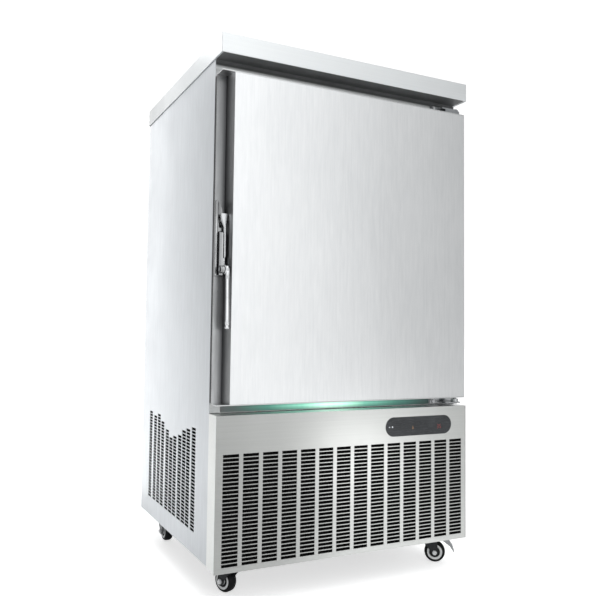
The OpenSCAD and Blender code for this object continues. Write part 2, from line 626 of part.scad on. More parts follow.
module brake_pedal(i) {
  // tongue over the wheel with turned down flanges, curved down beyond it and
  // rolled round a pin at its root
  color([0.45, 0.46, 0.47]) at_castor(i) difference() {
    union() {
      translate([0, 10, 0]) rotate([90, 0, 0]) linear_extrude(20) {
        polygon([[27, 73.2], [40, 73], [54, 69.6], [65, 62.4], [73, 51], [78.2, 34], [75.8, 33], [70, 49.5], [62.8, 60], [53, 66.8], [40, 70], [27, 70.3]]);
        translate([brake_x, brake_z]) circle(r = 2.9);
      }
      for (y = [10, -8]) translate([0, y, 0]) rotate([90, 0, 0]) linear_extrude(2)
        polygon([[28, 72.8], [40, 72.8], [54, 69.4], [65, 62.2], [73, 50.8], [77.4, 37], [73.6, 38], [66, 49], [56, 56.5], [46, 63.6], [36, 67.6], [28, 68.2]]);
    }
    translate([brake_x, 30, brake_z]) rotate([90, 0, 0]) cylinder(d = 3.1, h = 60);
  }
}

worktop();
worktop_core();
side_panel(-1);  // left_side_panel
side_panel(1);  // right_side_panel
rear_upper_panel();
rear_vent_panel();
front_frame();
base_plate();
base_rails();
cabinet_foam();
inner_liner();
lower_front_panel();
control_window();
control_board();
status_light_bar();
upper_hinge_bracket();
lower_hinge_bracket();
hinge_pins();
strike_plate();
door_skin();
door_channel();
door_foam();
door_inner_pan();
door_cap(dz1);  // door_top_cap
door_cap(door_z0);  // door_bottom_cap
door_gasket();
door_bushes();
latch_housing();
latch_lever();
latch_pin();
latch_bolt();
tray_rack(-1);  // tray_rack_left
tray_rack(1);  // tray_rack_right
evaporator_cover();
evaporator_coil();
evap_fan_motors();
evap_fan(fan_z[1]);  // evap_fan_upper
evap_fan(fan_z[0]);  // evap_fan_lower
fan_guards();
compressor();
condenser_coil();
condenser_shroud();
condenser_fan();
condenser_fan_motor();
electrical_box();
liquid_receiver();
refrigerant_pipes();
castor_plates();
castor_fork(0);  // castor_fork_fl
castor_fork(1);  // castor_fork_fr
castor_fork(2);  // castor_fork_rl
castor_fork(3);  // castor_fork_rr
castor_wheel(0);  // castor_wheel_fl
castor_wheel(1);  // castor_wheel_fr
castor_wheel(2);  // castor_wheel_rl
castor_wheel(3);  // castor_wheel_rr
brake_pedal(1);  // brake_pedal_fr
brake_pedal(3);  // brake_pedal_rr
panel_screws();
cable_gland();
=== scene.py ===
import math

import bmesh
import bpy
from mathutils import Matrix, Vector


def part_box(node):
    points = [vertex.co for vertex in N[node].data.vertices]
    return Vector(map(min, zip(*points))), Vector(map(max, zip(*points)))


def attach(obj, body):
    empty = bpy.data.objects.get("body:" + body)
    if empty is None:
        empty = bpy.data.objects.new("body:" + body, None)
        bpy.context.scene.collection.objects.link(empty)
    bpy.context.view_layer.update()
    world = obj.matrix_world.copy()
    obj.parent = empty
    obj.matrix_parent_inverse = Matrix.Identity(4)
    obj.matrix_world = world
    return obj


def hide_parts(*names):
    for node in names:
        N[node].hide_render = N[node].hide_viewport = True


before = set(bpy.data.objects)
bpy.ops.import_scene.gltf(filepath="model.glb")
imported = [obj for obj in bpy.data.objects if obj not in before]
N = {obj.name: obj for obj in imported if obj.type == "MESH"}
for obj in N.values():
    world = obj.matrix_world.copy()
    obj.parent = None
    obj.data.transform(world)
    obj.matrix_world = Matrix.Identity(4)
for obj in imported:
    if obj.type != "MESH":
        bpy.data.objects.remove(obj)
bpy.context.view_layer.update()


# ---------------------------------------------------------------- node helpers
class Mat:
    """A material with a Principled shader and short calls for the nodes that drive it."""

    def __init__(self, name, **const):
        self.m = bpy.data.materials.new(name)
        self.m.use_nodes = True
        self.t = self.m.node_tree
        self.t.nodes.clear()
        self.out = self.t.nodes.new("ShaderNodeOutputMaterial")
        self.b = self.t.nodes.new("ShaderNodeBsdfPrincipled")
        self.t.links.new(self.b.outputs[0], self.out.inputs["Surface"])
        for k, v in const.items():
            self.b.inputs[k.replace("_", " ")].default_value = v
        self.tc = self.t.nodes.new("ShaderNodeTexCoord")

    def link(self, a, b):
        self.t.links.new(a, b)

    def mapping(self, scale=(1, 1, 1), loc=(0, 0, 0), rot=(0, 0, 0), src=None):
        n = self.t.nodes.new("ShaderNodeMapping")
        n.inputs["Scale"].default_value = scale
        n.inputs["Location"].default_value = loc
        n.inputs["Rotation"].default_value = rot
        self.link(src or self.tc.outputs["Object"], n.inputs["Vector"])
        return n.outputs[0]

    def noise(self, scale=(1, 1, 1), detail=4, rough=0.55, distort=0.0, loc=(0, 0, 0), src=None):
        n = self.t.nodes.new("ShaderNodeTexNoise")
        n.inputs["Scale"].default_value = 1.0
        n.inputs["Detail"].default_value = detail
        n.inputs["Roughness"].default_value = rough
        n.inputs["Distortion"].default_value = distort
        self.link(self.mapping(scale, loc, src=src), n.inputs["Vector"])
        return n.outputs["Fac"]

    def voronoi(self, scale=(1, 1, 1), feature="F1"):
        n = self.t.nodes.new("ShaderNodeTexVoronoi")
        n.feature = feature
        n.inputs["Scale"].default_value = 1.0
        self.link(self.mapping(scale), n.inputs["Vector"])
        return n.outputs["Distance"]

    def ramp(self, fac, stops, interp="LINEAR"):
        n = self.t.nodes.new("ShaderNodeValToRGB")
        n.color_ramp.interpolation = interp
        e = n.color_ramp.elements
        while len(e) < len(stops):
            e.new(0.5)
        for i, (p, c) in enumerate(stops):
            e[i].position = p
            e[i].color = (*c, 1) if hasattr(c, "__len__") else (c, c, c, 1)
        self.link(fac, n.inputs["Fac"])
        return n.outputs["Color"]

    def rng(self, v, a0, a1, b0, b1, clamp=True):
        n = self.t.nodes.new("ShaderNodeMapRange")
        n.clamp = clamp
        for k, x in zip(("From Min", "From Max", "To Min", "To Max"), (a0, a1, b0, b1)):
            n.inputs[k].default_value = x
        self.link(v, n.inputs["Value"])
        return n.outputs["Result"]

    def math(self, op, a, b=None):
        n = self.t.nodes.new("ShaderNodeMath")
        n.operation = op
        for i, v in enumerate((a, b)):
            if v is None:
                continue
            if isinstance(v, (int, float)):
                n.inputs[i].default_value = v
            else:
                self.link(v, n.inputs[i])
        return n.outputs[0]

    def vmath(self, op, a, b=None, out=0):
        n = self.t.nodes.new("ShaderNodeVectorMath")
        n.operation = op
        for i, v in enumerate((a, b)):
            if v is None:
                continue
            if isinstance(v, (tuple, list)):
                n.inputs[i].default_value = v
            else:
                self.link(v, n.inputs[i])
        return n.outputs["Value"] if out == "v" else n.outputs[0]

    def mix(self, fac, a, b, blend="MIX"):
        n = self.t.nodes.new("ShaderNodeMix")
        n.data_type = "RGBA"
        n.blend_type = blend
        if isinstance(fac, (int, float)):
            n.inputs[0].default_value = fac
        else:
            self.link(fac, n.inputs[0])
        for i, v in ((6, a), (7, b)):
            if isinstance(v, (tuple, list)):
                n.inputs[i].default_value = (*v, 1)
            else:
                self.link(v, n.inputs[i])
        return n.outputs[2]

    def split(self, v):
        n = self.t.nodes.new("ShaderNodeSeparateXYZ")
        self.link(v, n.inputs[0])
        return n.outputs

    def bump(self, height, dist=0.0002, strength=0.3, normal=None):
        n = self.t.nodes.new("ShaderNodeBump")
        n.inputs["Distance"].default_value = dist
        n.inputs["Strength"].default_value = strength
        self.link(height, n.inputs["Height"])
        if normal is not None:
            self.link(normal, n.inputs["Normal"])
        return n.outputs[0]

    def to(self, name, v):
        self.link(v, self.b.inputs[name])
        return self


def steel(name, grain="z", tint=(0.80, 0.81, 0.82), rough=0.30, depth=0.10, streak=0.05, metallic=1.0, cloud=0.03, tone=None, mottle=0.0):
    """Brushed stainless: fine hairlines along one axis, broader streaks, soft clouds of handling.
    tone is a list of (axis, [(place in metres, factor), ...]): painted light and shade, brightness factors along those
    axes that stand for how the light falls on the sheet."""
    m = Mat(name, Metallic=metallic)
    s = {"x": (7, 1500, 1500), "y": (1500, 7, 1500), "z": (1500, 1500, 7)}[grain]
    w = {"x": (1.6, 210, 210), "y": (210, 1.6, 210), "z": (210, 210, 1.6)}[grain]
    hair = m.noise(s, 3, 0.6)
    band = m.noise(w, 4, 0.6, loc=(3, 1, 7))
    soft = m.noise((3.1, 3.1, 2.3), 3, 0.5, 0.4)
    smudge = m.noise((11, 11, 9), 5, 0.6, 0.6, loc=(5, 2, 1))
    v = m.math("ADD", m.math("MULTIPLY", m.rng(hair, 0.3, 0.7, -1, 1), depth * 0.35),
               m.math("ADD", m.math("MULTIPLY", m.rng(band, 0.3, 0.7, -1, 1), streak),
                      m.math("MULTIPLY", m.rng(soft, 0.3, 0.7, -1, 1), cloud)))
    if mottle:
        blot = m.noise({"x": (13, 115, 115), "y": (115, 13, 115), "z": (115, 115, 13)}[grain], 4, 0.62, 0.25, loc=(2, 9, 4))
        v = m.math("ADD", v, m.math("MULTIPLY", m.rng(blot, 0.3, 0.7, -1, 1), mottle))
    f = m.rng(v, -0.25, 0.25, 0, 1)
    lo = tuple(c * 0.75 for c in tint)
    hi = tuple(min(1, c * 1.25) for c in tint)
    colour = m.mix(f, lo, hi)
    # painted light and shade: the tone factors multiply the colour by place on the sheet
    for axis, stops in tone or ():
        a0, a1 = stops[0][0], stops[-1][0]
        at = m.rng(m.split(m.tc.outputs["Object"])["xyz".index(axis)], a0, a1, 0, 1)
        colour = m.mix(1.0, colour, m.ramp(at, [((a - a0) / (a1 - a0), k) for a, k in stops], "EASE"), "MULTIPLY")
    m.to("Base Color", colour)
    r = m.math("ADD", m.rng(hair, 0.3, 0.7, rough - 0.03, rough + 0.03, False),
               m.math("ADD", m.rng(band, 0.3, 0.7, -0.02, 0.02), m.rng(smudge, 0.35, 0.75, -0.015, 0.03)))
    m.to("Roughness", r)
    m.to("Normal", m.bump(m.math("ADD", hair, m.math("MULTIPLY", band, 0.6)), 0.00006, depth * 2.2))
    return m


def sheen_steel(name, tint, rough, metallic=1.0, pits=0.25):
    """Cast, pressed or plated metal: orange peel, light scuffs and duller patches."""
    m = Mat(name, Metallic=metallic)
    fine = m.noise((420, 420, 420), 3, 0.5)
    patch = m.noise((38, 38, 38), 4, 0.6, 0.5)
    scr = m.noise((90, 900, 900), 2, 0.5, 0.8)
    f = m.math("ADD", m.math("MULTIPLY", patch, 0.7), m.math("MULTIPLY", scr, 0.3))
    m.to("Base Color", m.ramp(f, [(0.3, tuple(c * 0.78 for c in tint)), (0.5, tint), (0.75, tuple(min(1, c * 1.12) for c in tint))]))
    m.to("Roughness", m.math("ADD", m.rng(patch, 0.3, 0.7, rough - 0.05, rough + 0.07), m.rng(scr, 0.6, 0.8, 0, 0.08)))
    m.to("Normal", m.bump(fine, 0.0001, pits))
    return m


def galvanised(name):
    """Zinc coated sheet: spangle cells of slightly different grey and gloss."""
    m = Mat(name, Metallic=0.9)
    cell = m.t.nodes.new("ShaderNodeTexVoronoi")
    cell.inputs["Scale"].default_value = 1.0
    m.link(m.mapping((70, 70, 70)), cell.inputs["Vector"])
    g = m.split(cell.outputs["Color"])[0]
    n = m.noise((180, 180, 180), 4, 0.6)
    f = m.math("ADD", m.math("MULTIPLY", g, 0.6), m.math("MULTIPLY", n, 0.4))
    m.to("Base Color", m.ramp(f, [(0.2, (0.50, 0.52, 0.54)), (0.5, (0.60, 0.62, 0.64)), (0.85, (0.70, 0.72, 0.74))]))
    m.to("Roughness", m.rng(g, 0, 1, 0.34, 0.52))
    m.to("Normal", m.bump(m.math("ADD", g, n), 0.00008, 0.2))
    return m


def plastic(name, tint, rough=0.45, grain=900, bump=0.25, coat=0.0):
    """Moulded plastic: fine spark texture, slight tone drift."""
    m = Mat(name, Metallic=0.0, Coat_Weight=coat, Coat_Roughness=0.08)
    fine = m.noise((grain, grain, grain), 2, 0.5)
    drift = m.noise((22, 22, 22), 3, 0.5)
    m.to("Base Color", m.ramp(m.math("ADD", m.math("MULTIPLY", fine, 0.4), m.math("MULTIPLY", drift, 0.6)),
                              [(0.3, tuple(c * 0.8 for c in tint)), (0.5, tint), (0.7, tuple(min(1, c * 1.2) for c in tint))]))
    m.to("Roughness", m.math("ADD", m.rng(fine, 0.3, 0.7, rough - 0.06, rough + 0.06), m.rng(drift, 0.3, 0.7, -0.04, 0.05)))
    m.to("Normal", m.bump(fine, 0.0001, bump))
    return m


def rubber(name, tint, rough=0.7):
    """Extruded or moulded rubber: powdery bloom in patches, small pits."""
    m = Mat(name, Metallic=0.0)
    pits = m.noise((700, 700, 700), 4, 0.7)
    bloom = m.noise((45, 45, 45), 5, 0.65, 0.4)
    m.to("Base Color", m.ramp(bloom, [(0.35, tint), (0.6, tuple(c * 1.5 + 0.004 for c in tint)), (0.8, tuple(c * 2.2 + 0.012 for c in tint))]))
    m.to("Roughness", m.rng(bloom, 0.3, 0.75, rough - 0.08, rough + 0.14))
    m.to("Normal", m.bump(pits, 0.0002, 0.35))
    return m


# ---------------------------------------------------------------- materials of the CAD's slots
M = {}
# painted shade: the side panels' tone darkens them towards the rear and lightens them a little at the bottom
M["side"] = steel("stainless_side", "z", (0.72, 0.745, 0.77), 0.36, 0.08, 0.022, tone=[("y", [(-0.32, 0.98), (-0.10, 1.02), (0.15, 0.97), (0.37, 0.83)]), ("z", [(0.09, 1.04), (0.35, 1.0), (0.7, 1.0), (1.42, 1.0)])], mottle=0.036)
# painted light: the door's tone brightens its left part and darkens it towards the right
M["door"] = steel("stainless_door", "z", (0.806, 0.829, 0.847), 0.34, 0.08, 0.020, tone=[("x", [(-0.36, 1.03), (-0.17, 1.0), (0.0, 0.97), (0.16, 0.91), (0.39, 0.88)])], mottle=0.036)
# painted highlight just behind the worktop's front edge, and painted shade darkening it towards the rear
M["top"] = steel("stainless_top", "x", (0.785, 0.812, 0.828), 0.36, 0.06, 0.014, tone=[("y", [(-0.3676, 1.0), (-0.3655, 1.20), (0.0, 1.06), (0.37, 0.58)])])
# painted light and shade on the lower panel: darker at the left and at the right edge, lighter in the middle, a painted
# highlight on its folded return and brighter towards the bottom
M["low"] = steel("stainless_low", "x", (0.66, 0.67, 0.655), 0.32, 0.10, 0.030, tone=[("x", [(-0.40, 0.60), (-0.25, 0.67), (0.02, 0.94), (0.22, 0.95), (0.394, 0.86), (0.3962, 0.50)]), ("y", [(-0.3668, 1.0), (-0.3650, 2.2), (-0.30, 2.2)]), ("z", [(0.087, 1.18), (0.105, 1.12), (0.25, 1.0), (0.48, 1.0)])])
M["cap"] = steel("stainless_cap", "x", (0.62, 0.63, 0.63), 0.30, 0.10, 0.040)
# painted shade: the frame's dark tint stands for the shade on its face; its tone paints a highlight strip just above
# the door and deeper shade above that under the worktop
M["frame"] = steel("stainless_frame", "x", (0.46, 0.47, 0.47), 0.34, 0.10, 0.040, tone=[("z", [(0.45, 1.0), (1.36, 0.9), (1.384, 0.85), (1.389, 1.30), (1.392, 1.65), (1.3948, 1.7), (1.3962, 0.9), (1.3976, 0.34), (1.45, 0.30)])])
M["inner"] = steel("stainless_inner", "z", (0.74, 0.75, 0.76), 0.28, 0.10, 0.050)
M["rack"] = steel("stainless_rack", "y", (0.76, 0.77, 0.78), 0.24, 0.10, 0.050)
M["galv"] = galvanised("galvanised")
# painted shade: a darker copy of the panels' stainless, darkened to hold down the highlight of the rear light
M["rear"] = steel("stainless_rear", "z", (0.56, 0.57, 0.58), 0.42, 0.08, 0.022)
M["chrome"] = sheen_steel("chromed", (0.74, 0.75, 0.76), 0.13, 1.0, 0.05)
M["chrome_bar"] = sheen_steel("chromed_bar", (0.62, 0.63, 0.64), 0.26, 1.0, 0.08)
M["zinc"] = sheen_steel("zinc_plated", (0.62, 0.63, 0.64), 0.36, 1.0, 0.2)
M["dark"] = sheen_steel("dark_steel", (0.085, 0.09, 0.095), 0.38, 0.7, 0.3)
M["foam"] = plastic("foam", (0.86, 0.78, 0.52), 0.85, 260, 0.9)
M["black"] = plastic("black_plastic", (0.022, 0.023, 0.025), 0.42)
M["white"] = plastic("white_plastic", (0.82, 0.82, 0.80), 0.4)
M["seal"] = rubber("seal", (0.018, 0.018, 0.019), 0.6)
M["paint"] = plastic("black_paint", (0.018, 0.019, 0.020), 0.32, 500, 0.35, 0.3)
M["copper"] = sheen_steel("copper", (0.72, 0.40, 0.24), 0.28, 1.0, 0.12)


def board_core_material():
    """Board under the worktop, with the sheet's folded lip along its side edges; the board's dark colour is painted
    shade for the recess under the worktop's overhang.
    """
    m = Mat("board_core")
    p = m.split(m.tc.outputs["Object"])
    fine = m.noise((300, 300, 300), 3, 0.55)
    cloud = m.noise((14, 14, 14), 4, 0.6)
    # painted shade: the dark core colour
    core = m.ramp(m.math("ADD", m.math("MULTIPLY", fine, 0.4), m.math("MULTIPLY", cloud, 0.6)),
                  [(0.3, (0.122, 0.126, 0.128)), (0.5, (0.150, 0.154, 0.157)), (0.7, (0.182, 0.187, 0.190))])
    lip = m.math("GREATER_THAN", m.math("ABSOLUTE", p[0]), 0.3945)
    m.to("Base Color", m.mix(lip, core, (0.86, 0.88, 0.89)))
    m.to("Metallic", m.math("MULTIPLY", lip, 0.6))
    m.to("Roughness", m.rng(fine, 0.3, 0.7, 0.42, 0.62))
    m.to("Normal", m.bump(fine, 0.0001, 0.35))
    return m


def latch_painted_light_material():
    """Plated latch plate with painted light: a painted highlight along its raised left flange, and painted shade in the
    groove beside it, towards its right edge and at its top.
    """
    m = Mat("latch_plate", Metallic=1.0)
    p = m.split(m.tc.outputs["Object"])
    fine = m.noise((420, 420, 420), 3, 0.5)
    patch = m.noise((60, 60, 24), 4, 0.6, 0.5)
    at = m.rng(m.math("ADD", p[0], m.rng(patch, 0.3, 0.7, -0.0002, 0.0002, False)), -0.3965, -0.3725, 0, 1)
    # painted highlight on the flange and plate, painted shade in the groove and towards the right edge
    tone = m.ramp(at, [(0.0, (0.46, 0.465, 0.47)), (0.15, (0.62, 0.625, 0.63)), (0.175, (0.07, 0.072, 0.075)), (0.27, (0.05, 0.052, 0.055)),
                       (0.30, (0.42, 0.425, 0.43)), (0.42, (0.30, 0.305, 0.31)), (0.66, (0.50, 0.505, 0.51)), (0.70, (0.34, 0.345, 0.35)),
                       (0.90, (0.12, 0.122, 0.125)), (1.0, (0.07, 0.072, 0.075))])
    # painted shade: darker towards the plate's top
    tone = m.mix(1.0, tone, m.ramp(m.rng(p[2], 0.83, 1.034, 0, 1), [(0.0, 1.0), (0.74, 1.0), (0.82, 0.62), (1.0, 0.55)]), "MULTIPLY")
    m.to("Base Color", m.mix(m.rng(patch, 0.4, 0.8, 0.0, 0.3), tone, (0.2, 0.203, 0.207)))
    m.to("Roughness", m.rng(patch, 0.3, 0.7, 0.16, 0.30))
    m.to("Normal", m.bump(fine, 0.0001, 0.08))
    return m


def channel_material():
    """The folded grip channel: brushed along its length, with random grime, painted shade darkening it towards the fold
    between its two walls, and painted highlights along its front edge and up its slanted wall.
    """
    m = Mat("stainless_channel", Metallic=1.0)
    p = m.split(m.tc.outputs["Object"])
    dx = m.math("ADD", p[0], 0.3715)
    dy = m.math("ADD", p[1], 0.3675 - 0.041)
    d = m.math("SQRT", m.math("ADD", m.math("MULTIPLY", dx, dx), m.math("MULTIPLY", dy, dy)))
    hair = m.noise((1500, 1500, 7), 3, 0.6)
    band = m.noise((260, 260, 2.2), 4, 0.6, loc=(3, 1, 7))
    grime = m.noise((60, 60, 14), 5, 0.6, 0.5)
    v = m.math("ADD", d, m.math("MULTIPLY", m.rng(band, 0.3, 0.7, -1, 1), 0.0012))
    # painted shade growing towards the fold (d is the distance from it), and a painted highlight on the last stops at
    # the front edge
    tone = m.ramp(m.rng(v, 0.0, 0.042, 0, 1), [(0.0, (0.11, 0.112, 0.115)), (0.10, (0.15, 0.152, 0.155)), (0.26, (0.26, 0.263, 0.267)),
                                               (0.50, (0.38, 0.385, 0.39)), (0.62, (0.44, 0.445, 0.45)), (0.955, (0.50, 0.505, 0.51)),
                                               (0.985, (0.95, 0.955, 0.96)), (1.0, (0.95, 0.955, 0.96))])
    # painted light: brighter at the bottom, darker towards the top
    tone = m.mix(1.0, tone, m.ramp(m.rng(p[2], 0.5, 1.37, 0, 1), [(0.0, 1.25), (0.25, 1.1), (0.6, 0.9), (1.0, 0.62)]), "MULTIPLY")
    # painted shade: the face behind the back wall, seen in the gap at the door's edge, made near black
    tone = m.mix(m.math("GREATER_THAN", p[1], -0.3675 + 0.0426), tone, (0.075, 0.077, 0.08))
    # painted highlight: the slanted wall brightens towards its top
    wall = m.math("MULTIPLY", m.math("GREATER_THAN", p[0], -0.3706), m.ramp(m.rng(p[2], 0.9, 1.36, 0, 1), [(0.0, 0.0), (1.0, 1.0)], "EASE"))
    tone = m.mix(wall, tone, m.mix(1.0, tone, (2.6, 2.6, 2.6), "MULTIPLY"))
    m.to("Base Color", m.mix(m.rng(grime, 0.35, 0.8, 0.0, 0.35), tone, (0.16, 0.163, 0.167)))
    m.to("Roughness", m.math("ADD", m.rng(hair, 0.3, 0.7, 0.26, 0.34), m.rng(grime, 0.4, 0.8, 0.0, 0.10)))
    m.to("Normal", m.bump(m.math("ADD", hair, m.math("MULTIPLY", band, 0.6)), 0.00006, 0.28))
    return m


def window_material():
    """Dark acrylic: blue black, glossy, hairline wipe marks."""
    m = Mat("window", Metallic=0.0, Coat_Weight=0.12, Coat_Roughness=0.10)
    m.b.inputs["Specular IOR Level"].default_value = 0.30
    wipe = m.noise((30, 30, 260), 4, 0.6, 1.2)
    cloud = m.noise((9, 9, 14), 4, 0.6)
    m.to("Base Color", m.ramp(cloud, [(0.3, (0.024, 0.026, 0.028)), (0.55, (0.040, 0.043, 0.047)), (0.75, (0.062, 0.066, 0.071))]))
    m.to("Roughness", m.rng(wipe, 0.3, 0.75, 0.16, 0.36))
    m.to("Normal", m.bump(wipe, 0.00005, 0.15))
    return m


def board_material():
    m = Mat("circuit", Metallic=0.0, Coat_Weight=0.4, Coat_Roughness=0.2)
    tracks = m.t.nodes.new("ShaderNodeTexBrick")
    tracks.inputs["Scale"].default_value = 1.0
    tracks.inputs["Mortar Size"].default_value = 0.03
    tracks.inputs["Color1"].default_value = (0.012, 0.13, 0.05, 1)
    tracks.inputs["Color2"].default_value = (0.016, 0.17, 0.07, 1)
    tracks.inputs["Mortar"].default_value = (0.05, 0.32, 0.14, 1)
    m.link(m.mapping((140, 140, 140), rot=(math.radians(90), 0, 0)), tracks.inputs["Vector"])
    m.to("Base Color", tracks.outputs["Color"])
    m.to("Roughness", m.rng(m.noise((300, 300, 300)), 0.3, 0.7, 0.3, 0.5))
    return m


def fin_material():
    """Stacked aluminium fins: fine parallel lines with a few bent ones; the dark lines are painted shade in the gaps
    between fins.
    """
    m = Mat("fins", Metallic=0.95)
    p = m.split(m.tc.outputs["Object"])
    wob = m.noise((40, 40, 12), 3, 0.6)
    ph = m.math("ADD", m.math("MULTIPLY", p[0], 1500.0), m.math("MULTIPLY", wob, 5.0))
    w = m.math("SINE", ph)
    # painted shade in the gaps between fins, lighter on the fins
    m.to("Base Color", m.ramp(m.rng(w, -1, 1, 0, 1), [(0.1, (0.30, 0.31, 0.32)), (0.6, (0.72, 0.74, 0.76)), (1.0, (0.84, 0.85, 0.86))]))
    m.to("Roughness", m.rng(wob, 0.3, 0.7, 0.3, 0.45))
    m.to("Normal", m.bump(w, 0.0004, 0.6))
    return m


def light_material():
    """Diffuser of the light strip: bright in the middle, dimmer towards both ends, with a faint row of lamps."""
    m = Mat("light_bar", Metallic=0.0, Roughness=0.35)
    p = m.split(m.tc.outputs["Object"])
    lamps = m.math("SINE", m.math("MULTIPLY", p[0], 2 * math.pi / 0.0167))
    fine = m.noise((500, 500, 500), 3, 0.5)
    t = m.rng(p[0], -0.366, 0.300, 0, 1)
    stops = [(0.0, (0.0, 0.0, 0.0)), (0.06, (0.006, 0.03, 0.022)), (0.20, (0.05, 0.22, 0.16)), (0.36, (0.34, 0.86, 0.64)),
             (0.46, (1.0, 1.6, 1.3)), (0.54, (0.9, 1.55, 1.2)), (0.66, (0.20, 0.60, 0.44)), (0.82, (0.04, 0.17, 0.13)),
             (0.94, (0.01, 0.045, 0.035)), (1.0, (0.004, 0.014, 0.011))]
    col = m.ramp(t, [(a, tuple(min(1, x / 1.6) for x in c)) for a, c in stops])
    rise = m.ramp(m.rng(p[2], 0.482, 0.500, 0, 1), [(0.0, 0.30), (0.30, 0.62), (0.55, 1.0), (0.80, 0.72), (1.0, 0.40)], "EASE")
    col = m.mix(1.0, col, rise, "MULTIPLY")
    body = m.ramp(t, [(0.0, (0.24, 0.24, 0.25)), (0.08, (0.17, 0.20, 0.20)), (0.2, (0.10, 0.24, 0.20)), (0.8, (0.10, 0.24, 0.20)), (1.0, (0.05, 0.08, 0.08))])
    m.to("Base Color", m.mix(m.rng(fine, 0.3, 0.7, 0.0, 0.25), body, (0.12, 0.2, 0.18)))
    m.to("Emission Color", m.mix(m.rng(lamps, -1, 1, 0.0, 0.05), col, (0.0, 0.02, 0.015)))
    m.b.inputs["Emission Strength"].default_value = 1.55
    m.to("Normal", m.bump(fine, 0.0001, 0.3))
    return m


# black coated condenser fins, their near-black colour partly painted shade so the grille's slots read black
M["fins_black_for_shade"] = plastic("fins_black_for_shade", (0.016, 0.017, 0.018), 0.5, 700, 0.5)
M["galv_dark"] = sheen_steel("rail_dark", (0.10, 0.105, 0.11), 0.5, 0.8, 0.3)
M["channel"] = channel_material()
M["board"] = board_core_material()
M["latch"] = latch_painted_light_material()
M["window"] = window_material()
M["circuit"] = board_material()
M["fins"] = fin_material()
M["light"] = light_material()

# castors: position of the swivel, swivel angle, and the axle's place
CAST = {"fl": (-0.312, 0.098, 114), "fr": (0.332, 0.098, -38), "rl": (-0.334, 0.655, -87), "rr": (0.332, 0.655, 60)}


def wheel_material(key):
    """Tyre, pressed ring, web and hub of one wheel, told apart by the distance from its axle."""
    lo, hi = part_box("castor_wheel_" + key)
    c = (lo + hi) / 2
    a = math.radians(CAST[key][2])
    axis = (-math.sin(a), math.cos(a), 0.0)
    m = Mat("wheel_" + key)
    d = m.vmath("SUBTRACT", m.tc.outputs["Object"], tuple(c))
    along = m.vmath("DOT_PRODUCT", d, axis, "v")
    l2 = m.vmath("DOT_PRODUCT", d, d, "v")
    r = m.math("SQRT", m.math("MAXIMUM", m.math("SUBTRACT", l2, m.math("MULTIPLY", along, along)), 0.0))
    dirt = m.noise((160, 160, 160), 5, 0.65, 0.4)
    fine = m.noise((900, 900, 900), 3, 0.6)
    tyre = m.ramp(dirt, [(0.35, (0.004, 0.004, 0.0045)), (0.6, (0.008, 0.008, 0.009)), (0.8, (0.022, 0.021, 0.020))])
    ring = m.ramp(dirt, [(0.3, (0.80, 0.82, 0.82)), (0.6, (0.92, 0.93, 0.93)), (0.8, (0.97, 0.98, 0.98))])
    web = m.ramp(dirt, [(0.3, (0.012, 0.013, 0.014)), (0.8, (0.034, 0.035, 0.037))])
    hub = m.ramp(dirt, [(0.3, (0.66, 0.68, 0.68)), (0.8, (0.88, 0.89, 0.90))])
    in_ring = m.math("MULTIPLY", m.math("GREATER_THAN", r, 0.0160), m.math("LESS_THAN", r, 0.0226))
    in_web = m.math("MULTIPLY", m.math("GREATER_THAN", r, 0.0100), m.math("LESS_THAN", r, 0.0160))
    in_hub = m.math("LESS_THAN", r, 0.0100)
    m.to("Base Color", m.mix(in_hub, m.mix(in_web, m.mix(in_ring, tyre, ring), web), hub))
    m.to("Roughness", m.math("ADD", m.rng(dirt, 0.3, 0.8, 0.42, 0.7), m.math("MULTIPLY", m.math("MAXIMUM", in_ring, in_hub), -0.15)))
    m.to("Metallic", m.math("MULTIPLY", m.math("MAXIMUM", in_ring, in_hub), 0.15))
    m.to("Specular IOR Level", m.rng(m.math("MAXIMUM", in_ring, in_hub), 0, 1, 0.18, 0.5))
    m.to("Normal", m.bump(fine, 0.00015, 0.3))
    return m


def fork_material(key, tint):
    """Pressed and painted fork, with the bright axle bolt and nut told apart by their distance from the axle."""
    lo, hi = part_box("castor_wheel_" + key)
    c = (lo + hi) / 2
    a = math.radians(CAST[key][2])
    axis = (-math.sin(a), math.cos(a), 0.0)
    m = Mat("fork_" + key)
    d = m.vmath("SUBTRACT", m.tc.outputs["Object"], tuple(c))
    along = m.vmath("DOT_PRODUCT", d, axis, "v")
    l2 = m.vmath("DOT_PRODUCT", d, d, "v")
    r = m.math("SQRT", m.math("MAXIMUM", m.math("SUBTRACT", l2, m.math("MULTIPLY", along, along)), 0.0))
    nut = m.math("MULTIPLY", m.math("LESS_THAN", r, 0.0082), m.math("GREATER_THAN", m.math("ABSOLUTE", along), 0.0206))
    dirt = m.noise((140, 140, 140), 5, 0.65, 0.4)
    fine = m.noise((800, 800, 800), 3, 0.6)
    paint = m.ramp(dirt, [(0.3, tuple(x * 0.7 for x in tint)), (0.55, tint), (0.8, tuple(x * 1.5 for x in tint))])
    zinc = m.ramp(dirt, [(0.3, (0.80, 0.81, 0.82)), (0.8, (0.96, 0.97, 0.98))])
    m.to("Base Color", m.mix(nut, paint, zinc))
    m.to("Roughness", m.math("ADD", m.rng(dirt, 0.3, 0.8, 0.30, 0.46), m.math("MULTIPLY", nut, -0.06)))
    m.to("Metallic", m.rng(nut, 0, 1, 0.7, 0.35))
    m.to("Normal", m.bump(fine, 0.00012, 0.28))
    return m


